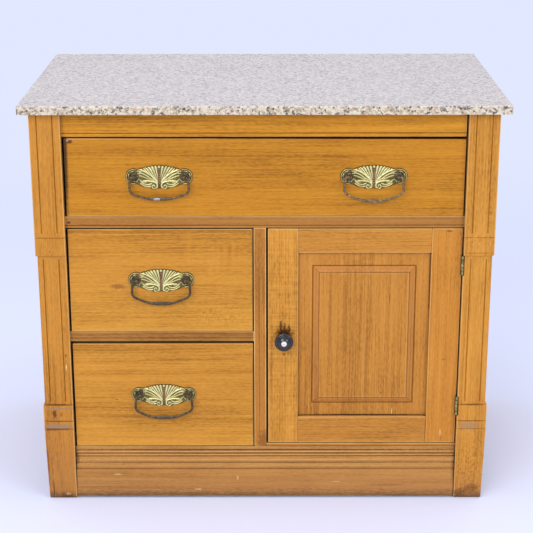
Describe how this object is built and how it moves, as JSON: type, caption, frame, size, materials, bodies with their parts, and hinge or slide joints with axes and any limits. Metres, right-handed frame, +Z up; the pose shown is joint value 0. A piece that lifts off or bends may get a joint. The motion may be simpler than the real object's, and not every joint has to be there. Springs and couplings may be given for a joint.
{
  "type": "washstand",
  "caption": "Commode washstand: a stone slab on a framed wooden case with a wide drawer over small drawers and a cupboard door, with stamped pulls, bails and a turning knob.",
  "frame": {"origin": "middle of the bounding box's bottom, on the floor", "axes": "+Z up, +X to the right along the front, -Y out of the front"},
  "size_m": [0.773, 0.463, 0.685],
  "materials": {
    "stone_top": "polished",
    "case_wood": "satin",
    "door_wood": "satin",
    "drawer_front_wood": "satin",
    "inner_wood": "matte",
    "plate_brass": "satin",
    "bail_bronze": "satin",
    "hinge_brass": "satin",
    "knob_black": "gloss",
    "eye_white": "gloss",
    "spindle_steel": "satin"
  },
  "bodies": {
    "case": {"stone_top": "stone_top", "front_post_left": "case_wood", "front_post_right": "case_wood", "rear_post_left": "case_wood", "rear_post_right": "case_wood", "side_top_rail_left": "case_wood", "side_top_rail_right": "case_wood", "side_bottom_rail_left": "case_wood", "side_bottom_rail_right": "case_wood", "side_panel_left": "case_wood", "side_panel_right": "case_wood", "frieze_rail": "case_wood", "drawer_rail_upper": "case_wood", "drawer_rail_lower": "case_wood", "centre_stile": "case_wood", "base_board": "case_wood", "partition": "inner_wood", "cupboard_floor": "inner_wood", "back_top_rail": "inner_wood", "back_bottom_rail": "inner_wood", "back_boards": "inner_wood", "long_drawer_runners": "inner_wood", "small_drawer_runners": "inner_wood", "drawer_stops": "inner_wood", "hinge_leaf_post_upper": "hinge_brass", "hinge_leaf_post_lower": "hinge_brass"},
    "door": {"door_stile_left": "door_wood", "door_stile_right": "door_wood", "door_top_rail": "door_wood", "door_bottom_rail": "door_wood", "door_panel": "door_wood", "hinge_leaf_door_upper": "hinge_brass", "hinge_leaf_door_lower": "hinge_brass"},
    "knob": {"door_knob": "knob_black", "knob_eye": "eye_white", "latch_spindle": "spindle_steel"},
    "long_drawer": {"long_drawer_front": "drawer_front_wood", "long_drawer_side_left": "inner_wood", "long_drawer_side_right": "inner_wood", "long_drawer_back": "inner_wood", "long_drawer_bottom": "inner_wood", "long_drawer_pull_plate_left": "plate_brass", "long_drawer_pull_plate_right": "plate_brass"},
    "long_drawer_bail_left": {"long_drawer_bail_left": "bail_bronze"},
    "long_drawer_bail_right": {"long_drawer_bail_right": "bail_bronze"},
    "upper_drawer": {"upper_drawer_front": "drawer_front_wood", "upper_drawer_side_left": "inner_wood", "upper_drawer_side_right": "inner_wood", "upper_drawer_back": "inner_wood", "upper_drawer_bottom": "inner_wood", "upper_drawer_pull_plate": "plate_brass"},
    "upper_drawer_bail": {"upper_drawer_bail": "bail_bronze"},
    "lower_drawer": {"lower_drawer_front": "drawer_front_wood", "lower_drawer_side_left": "inner_wood", "lower_drawer_side_right": "inner_wood", "lower_drawer_back": "inner_wood", "lower_drawer_bottom": "inner_wood", "lower_drawer_pull_plate": "plate_brass"},
    "lower_drawer_bail": {"lower_drawer_bail": "bail_bronze"}
  },
  "joints": [
    {"name": "long_drawer_slide", "type": "slide", "parent": "case", "child": "long_drawer", "axis": [0, -1, 0], "range_m": [0, 0.3]},
    {"name": "upper_drawer_slide", "type": "slide", "parent": "case", "child": "upper_drawer", "axis": [0, -1, 0], "range_m": [0, 0.3]},
    {"name": "lower_drawer_slide", "type": "slide", "parent": "case", "child": "lower_drawer", "axis": [0, -1, 0], "range_m": [0, 0.3]},
    {"name": "door_hinge", "type": "hinge", "parent": "case", "child": "door", "pos_m": [0.3206, -0.2098, 0.29], "axis": [0, 0, 1], "range_deg": [0, 110]},
    {"name": "knob_turn", "type": "hinge", "parent": "door", "child": "knob", "pos_m": [0.0313, -0.2072, 0.2885], "axis": [0, 1, 0], "range_deg": [0, 90]},
    {"name": "long_drawer_bail_left_swing", "type": "hinge", "parent": "long_drawer", "child": "long_drawer_bail_left", "pos_m": [-0.1677, -0.2167, 0.5667], "axis": [-1, 0, 0], "range_deg": [-8, 170]},
    {"name": "long_drawer_bail_right_swing", "type": "hinge", "parent": "long_drawer", "child": "long_drawer_bail_right", "pos_m": [0.1739, -0.2167, 0.5667], "axis": [-1, 0, 0], "range_deg": [-8, 170]},
    {"name": "upper_drawer_bail_swing", "type": "hinge", "parent": "upper_drawer", "child": "upper_drawer_bail", "pos_m": [-0.16885, -0.2167, 0.39305], "axis": [-1, 0, 0], "range_deg": [-8, 170]},
    {"name": "lower_drawer_bail_swing", "type": "hinge", "parent": "lower_drawer", "child": "lower_drawer_bail", "pos_m": [-0.16885, -0.2167, 0.19065], "axis": [-1, 0, 0], "range_deg": [-8, 170]}
  ]
}
